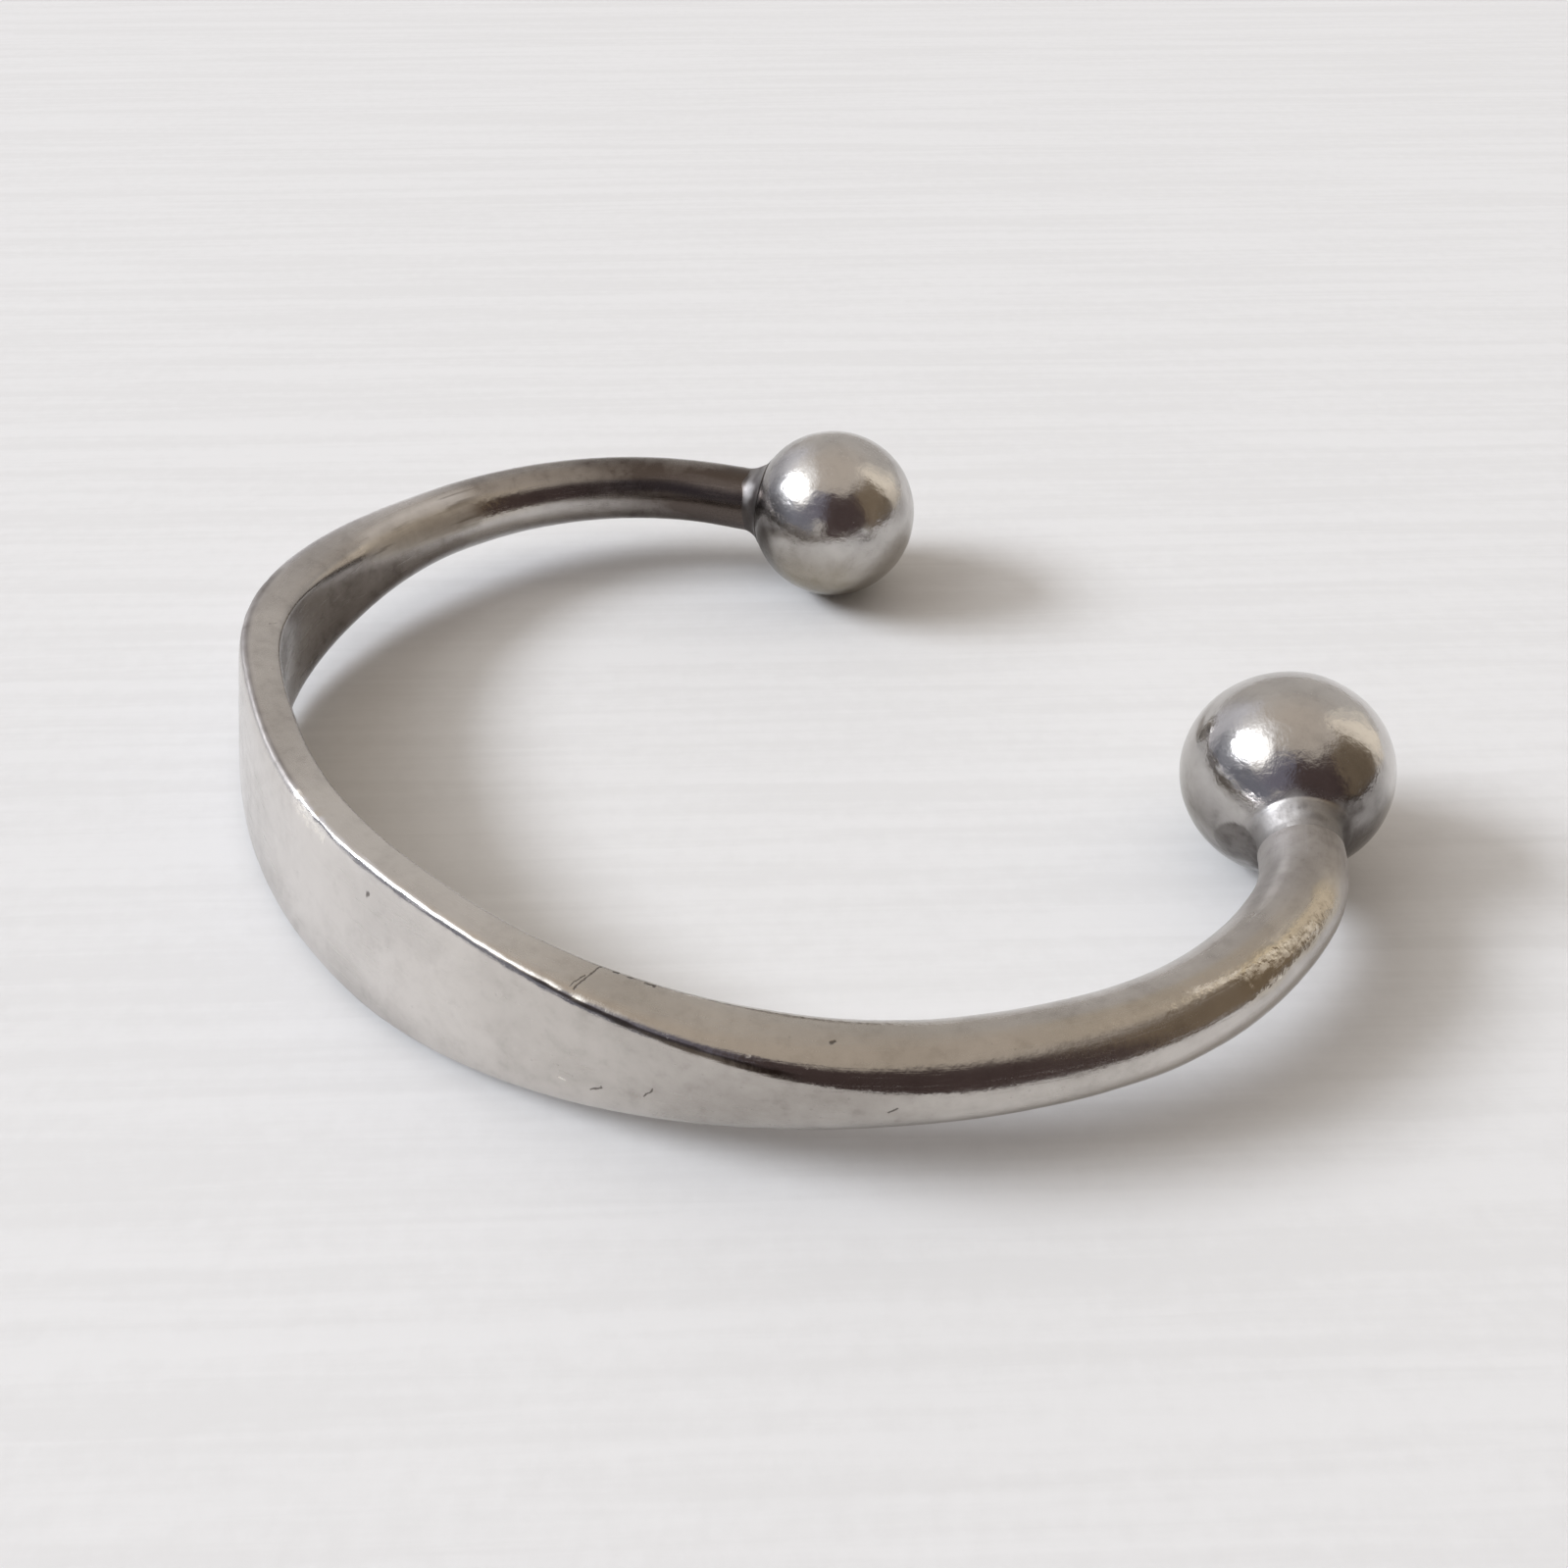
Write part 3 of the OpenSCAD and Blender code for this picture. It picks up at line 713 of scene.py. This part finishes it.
bore_r = BUSH_R + CLEARANCE
bore_z = SEAM - NECK_Z + BUSH_L + 0.1
outer = fillet(FILLET_R)
start = degrees(acos(-outer[-1][1] / BALL_R))
screw_profile = (
    [(bore_r * 0.5, bore_z), (bore_r, bore_z), (bore_r, -3.5), (bore_r, SEAM - NECK_Z + 0.06)]
    + [(bore_r + 0.05, SEAM - NECK_Z), (ARM_END_R - CHAMFER, SEAM - NECK_Z)]
    + [(ARM_END_R, SEAM - NECK_Z + CHAMFER)]
    + outer[1:]
    + sphere_profile(start, 140)[1:]
)
screw_ball = turned("screw_ball_worn", screw_profile, at_right, dent=DENT, seed=5, joint=0.18,
                    finish_and_painted_light=near_finish_and_painted_light)
place(screw_ball, "ball", "screw_ball", BALL)

mouth = degrees(asin(TENON_R / BALL_R))
fixed_profile = (
    [(TENON_R * 0.5, TENON_L - SHOULDER_Z), (TENON_R, TENON_L - SHOULDER_Z), (TENON_R, -3.0)]
    + sphere_profile(mouth, 160)
)
fixed_ball = turned("fixed_ball_worn", fixed_profile, at_left, dent=DENT, seed=8, finish_and_painted_light=far_finish_and_painted_light)
place(fixed_ball, "ring", "fixed_ball", BALL)

# ---------------------------------------------------------------- the solder round the left ball's joint
angles = 2 * pi * np.arange(SOLDER_COUNT) / SOLDER_COUNT
upward = -np.cos(angles)      # local -X is up
spread_r = 1.45 + 0.45 * smooth(upward, -0.2, 0.9)
circle = np.stack([np.cos(angles), np.sin(angles), np.zeros(SOLDER_COUNT)], -1)
spread_r = spread_r + 0.16 * lumps(circle * 2, 0.9, 4)
solder_rings = []
curves = [fillet(r, SOLDER_STEPS) for r in spread_r]
for i in range(SOLDER_STEPS + 1):
    ring = [(curves[k][i][0] * cos(angles[k]), curves[k][i][0] * sin(angles[k]), curves[k][i][1])
            for k in range(SOLDER_COUNT)]
    solder_rings.append(ring)
solder_rings = np.array(solder_rings)
sunk = 0.014 * (1 + 0.9 * lumps(circle * 2, 0.7, 31))
tuck = 1 - sunk * np.maximum(0, 1 - np.arange(SOLDER_STEPS + 1) / 6)[:, None]
solder_rings[..., :2] *= tuck[..., None]
under_arm = solder_rings[0].copy()
under_arm[:, :2] *= (ARM_END_R - SOLDER_TUCK) / ARM_END_R
under_ball = solder_rings[-1] * (BALL_R - SOLDER_TUCK) / BALL_R
middle = circle * (ARM_END_R - SOLDER_TUCK)
middle[:, 2] = -SHOULDER_Z + 0.1
solder_rings = np.concatenate([[under_arm], solder_rings, [under_ball], [middle]])
pts, faces = skin(solder_rings, loop=True)
wander = 0.035 * lumps(pts, 0.7, 6) + 0.03 * lumps(pts, 1.6, 7)
away = pts.copy()
away[:, 2] = 0
away /= np.linalg.norm(away, axis=1, keepdims=True)
mid_curve = np.zeros(len(solder_rings))
mid_curve[1:SOLDER_STEPS + 2] = np.sin(pi * np.linspace(0, 1, SOLDER_STEPS + 1))
pts = pts + away * (wander * np.repeat(mid_curve, SOLDER_COUNT))[:, None]
across_fillet = np.zeros(len(solder_rings))
across_fillet[1:SOLDER_STEPS + 2] = np.linspace(0, 1, SOLDER_STEPS + 1)
across_fillet[SOLDER_STEPS + 2] = 1
over = np.repeat(across_fillet, SOLDER_COUNT) + 0.22 * lumps(pts, 1.0, 9)
light = smooth(over, 0.10, 0.32) * (1 - smooth(over, 0.45, 0.72)) * smooth(-pts[:, 0], 0.2, 1.4)
solder_tarnish = 0.98 - 0.20 * smooth(over, 0.55, 0.95) - 0.30 * light
solder_finish = np.stack([solder_tarnish, 0 * light, 0.25 + 0.35 * light], -1)
solder = piece("solder_fillet", at_left(pts), faces, pts[:, [2, 0, 1]], solder_finish)
place(solder, "ring", "ball_solder", SOLDER)


# ---------------------------------------------------------------- the screw thread
def thread_radius(z, a, crest, root):
    """Radius of a right-hand V thread at height z and angle a."""
    t = np.mod(z / PITCH - a / (2 * pi), 1.0)
    v = np.abs(2 * t - 1)
    v = np.clip((v - 0.12) / 0.76, 0, 1)  # a small flat at the crest and at the root
    return root + (crest - root) * v


a = 2 * pi * np.arange(THREAD_COUNT) / THREAD_COUNT
z_tip = STUD_REACH - NECK_Z
z_thread = np.arange(-NECK_Z + 0.05, z_tip - 0.001, PITCH / THREAD_STEPS)
stud_rings = [circle_rings([(0.9, -NECK_Z - STUD_ROOT_L), (STUD_R - 0.005, -NECK_Z - STUD_ROOT_L + 0.2),
                            (STUD_R - 0.005, -NECK_Z - 0.02)], THREAD_COUNT)]
body = []
for z in z_thread:
    r = thread_radius(z, a, STUD_R, STUD_R - THREAD_DEPTH)
    start_fade = smooth(z, -NECK_Z, -NECK_Z + PITCH)
    tip_fade = smooth(z, z_tip - 0.35, z_tip)
    r = r * start_fade + (STUD_R - THREAD_DEPTH) * (1 - start_fade)
    r = r - (r - (STUD_R - 0.30)) * tip_fade
    body.append(np.stack([r * np.cos(a), r * np.sin(a), np.full(THREAD_COUNT, z)], -1))
stud_rings.append(np.array(body))
stud_rings.append(circle_rings([(STUD_R - 0.42, z_tip)], THREAD_COUNT))
pts, faces = skin(np.concatenate(stud_rings))
stud = piece("stud_threaded", at_right(pts), faces, pts[:, [2, 0, 1]], sharp=35)
place(stud, "ring", "threaded_stud", STUD)

z0 = SEAM - NECK_Z
z1 = z0 + BUSH_L
bush_rings = [circle_rings([(BUSH_R - 0.06, z0), (BUSH_R, z0 + 0.06), (BUSH_R, z1 - 0.06),
                            (BUSH_R - 0.06, z1)], THREAD_COUNT)]
inside = []
for z in np.arange(z1, z0 + 0.001, -PITCH / THREAD_STEPS):
    r = thread_radius(z, a, BUSH_CREST_R, BUSH_ROOT_R)
    end_fade = max(1 - smooth(z, z0, z0 + 0.12), smooth(z, z1 - 0.12, z1))
    r = r * (1 - end_fade) + BUSH_END_R * end_fade
    inside.append(np.stack([r * np.cos(a), r * np.sin(a), np.full(THREAD_COUNT, z)], -1))
inside.append(circle_rings([(BUSH_END_R, z0)], THREAD_COUNT)[0])
bush_rings.append(np.array(inside))
pts, faces = skin(np.concatenate(bush_rings), loop=True)
bush = piece("bush_threaded", at_right(pts), faces, pts[:, [2, 0, 1]], sharp=35)
place(bush, "bush", "thread_bush", BUSH)

# ---------------------------------------------------------------- floor, light and camera
floor_mesh = bpy.data.meshes.new("floor")
FLOOR_HALF = 0.75  # in metres
corners = [(-1, -1), (1, -1), (1, 1), (-1, 1)]
floor_mesh.from_pydata([(x * FLOOR_HALF, y * FLOOR_HALF, 0) for x, y in corners], [], [(0, 1, 2, 3)])
floor = bpy.data.objects.new("floor", floor_mesh)
bpy.context.scene.collection.objects.link(floor)
paper, paper_tree, paper_shader = nodes_of("paper")
g = Graph(paper_tree)
where = g.node("ShaderNodeTexCoord").outputs["Object"]
turned_where = g.node("ShaderNodeVectorRotate", rotation_type="Z_AXIS")
g.put(turned_where.inputs["Vector"], where)
turned_where.inputs["Angle"].default_value = radians(-56)
stripe = g.noise(g.scaled(turned_where.outputs[0], (18.0, 480.0, 1.0)), 1.0, 2.0, 0.5, 0.2)
fine_stripe = g.noise(g.scaled(turned_where.outputs[0], (60.0, 1500.0, 1.0)), 1.0, 3.0, 0.6, 0.3)
speck = g.noise(where, 900.0, 4.0, 0.6)
stripe = g.math("MULTIPLY_ADD", g.math("SUBTRACT", fine_stripe, 0.5), 0.7, stripe)
stripe = g.math("MULTIPLY_ADD", g.math("SUBTRACT", speck, 0.5), 0.5, stripe)
tone = g.mix(g.ramp(stripe, 0.30, 0.70), (0.805, 0.802, 0.795, 1), (0.768, 0.764, 0.755, 1))
g.put(paper_shader.inputs["Base Color"], tone)
paper_shader.inputs["Roughness"].default_value = 0.75
bump = g.node("ShaderNodeBump")
bump.inputs["Strength"].default_value = 0.5
bump.inputs["Distance"].default_value = 0.05 * MM
g.put(bump.inputs["Height"], g.math("MULTIPLY_ADD", speck, 0.25, stripe))
g.put(paper_shader.inputs["Normal"], bump.outputs[0])
floor.data.materials.append(paper)

world = bpy.data.worlds.new("room")
bpy.context.scene.world = world
world.use_nodes = True
tree = world.node_tree
g = Graph(tree)
toward = g.node("ShaderNodeTexCoord").outputs["Generated"]
split = g.node("ShaderNodeSeparateXYZ")
g.put(split.inputs[0], toward)
height = g.math("MULTIPLY", g.math("ARCSINE", split.outputs[2]), 180 / pi)


def bearing(centre):
    """How far a direction lies round from centre, in degrees."""
    n = g.node("ShaderNodeVectorRotate", rotation_type="Z_AXIS")
    g.put(n.inputs["Vector"], toward)
    n.inputs["Angle"].default_value = -radians(centre)
    xyz = g.node("ShaderNodeSeparateXYZ")
    g.put(xyz.inputs[0], n.outputs[0])
    return g.math("MULTIPLY", g.math("ARCTAN2", xyz.outputs[1], xyz.outputs[0]), 180 / pi)


def patch(centre, half_width, soft, low, high, soft_up, ragged=0.0):
    """1 inside a part of the room and 0 outside, from its centre, half width and heights in degrees."""
    side = g.math("ABSOLUTE", bearing(centre))
    level = height
    if ragged:
        side = g.math("MULTIPLY_ADD", rough_a, ragged, side)
        level = g.math("MULTIPLY_ADD", rough_b, ragged, height)
    width = g.ramp(side, half_width - soft, half_width + soft, 1.0, 0.0)
    up = g.ramp(level, low - soft_up, low + soft_up)
    down = g.ramp(level, high - soft_up, high + soft_up, 1.0, 0.0)
    return g.math("MULTIPLY", width, g.math("MULTIPLY", up, down))


def glow(centre, half_width, middle, half_height, soft):
    """1 in the middle of a round patch of light, falling to 0 round its edge over soft of its size."""
    x = g.math("DIVIDE", bearing(centre), half_width)
    y = g.math("DIVIDE", g.math("SUBTRACT", height, middle), half_height)
    away = g.math("SQRT", g.math("ADD", g.math("MULTIPLY", x, x), g.math("MULTIPLY", y, y)))
    return g.ramp(away, 1 - soft, 1 + soft, 1.0, 0.0)


rough_a = g.math("SUBTRACT", g.noise(toward, 2.6, 3.0, 0.6), 0.5)
rough_b = g.math("SUBTRACT", g.noise(g.scaled(toward, (1.0, -1.0, 1.0)), 3.1, 3.0, 0.6), 0.5)
room = g.mix(g.ramp(height, 20, 75), (0.62, 0.59, 0.56, 1), (0.64, 0.57, 0.50, 1))
# Dark and pale parts of the room, each over those before it: the values of patch, and a colour
ROOM_PARTS = (
    ((192, 24, 12, -20, 42, 10), (0.84, 0.84, 0.90, 1)),
    ((250, 46, 9, -14, 27, 7, 14), (0.225, 0.23, 0.275, 1)),
    ((298, 28, 7, 18, 58, 7, 14), (0.20, 0.19, 0.24, 1)),
    ((347, 39, 7, -14, 57, 9, 20), (0.085, 0.06, 0.058, 1)),
    ((28, 28, 6, -14, 7, 4, 14), (0.12, 0.09, 0.08, 1)),
    ((37, 26, 6, 6, 52, 6, 18), (0.24, 0.185, 0.13, 1)),
    ((70.5, 11, 4, 0, 57, 6, 14), (1.06, 0.96, 0.82, 1)),
    ((88, 2.5, 2, 10, 50, 6, 8), (0.90, 0.84, 0.74, 1)),
)
# The main light and the paler wall round it: the values of glow, and a colour. The last is the light.
ROOM_LIGHTS = (
    ((221, 20, 20, 14, 0.7), (0.40, 0.41, 0.46, 1)),
    ((231, 42, 47, 22, 0.5), (1.15, 1.13, 1.12, 1)),
    ((240, 29, 44.5, 14, 0.25), (2.6, 2.6, 2.6, 1)),
    ((230, 17, 34, 8, 0.25), (23.6, 24.8, 27.0, 1)),
)
for values, colour in ROOM_PARTS:
    room = g.mix(patch(*values), room, colour)
for values, colour in ROOM_LIGHTS:
    room = g.mix(glow(*values), room, colour)
# The camera itself sees a plain pale backdrop past the floor
seen = g.node("ShaderNodeLightPath").outputs["Is Camera Ray"]
back = tree.nodes["Background"]
g.put(back.inputs["Color"], g.mix(seen, room, (0.80, 0.80, 0.795, 1)))
back.inputs["Strength"].default_value = 0.925

CAMERA_AT = Vector((45.25, -29.95, 49.66)) * MM
CAMERA_AZIMUTH = radians(144.33)
CAMERA_DOWN = radians(42.54)
camera_data = bpy.data.cameras.new("camera")
camera_data.sensor_width = 36
camera_data.lens = 31.34
camera_data.clip_start = 0.001
camera_data.clip_end = 10
camera = bpy.data.objects.new("camera", camera_data)
look = Vector((cos(CAMERA_AZIMUTH) * cos(CAMERA_DOWN), sin(CAMERA_AZIMUTH) * cos(CAMERA_DOWN),
               -sin(CAMERA_DOWN)))
camera.location = CAMERA_AT
camera.rotation_euler = look.to_track_quat("-Z", "Y").to_euler()
bpy.context.scene.collection.objects.link(camera)
bpy.context.scene.camera = camera
bpy.context.scene.view_settings.view_transform = "Standard"
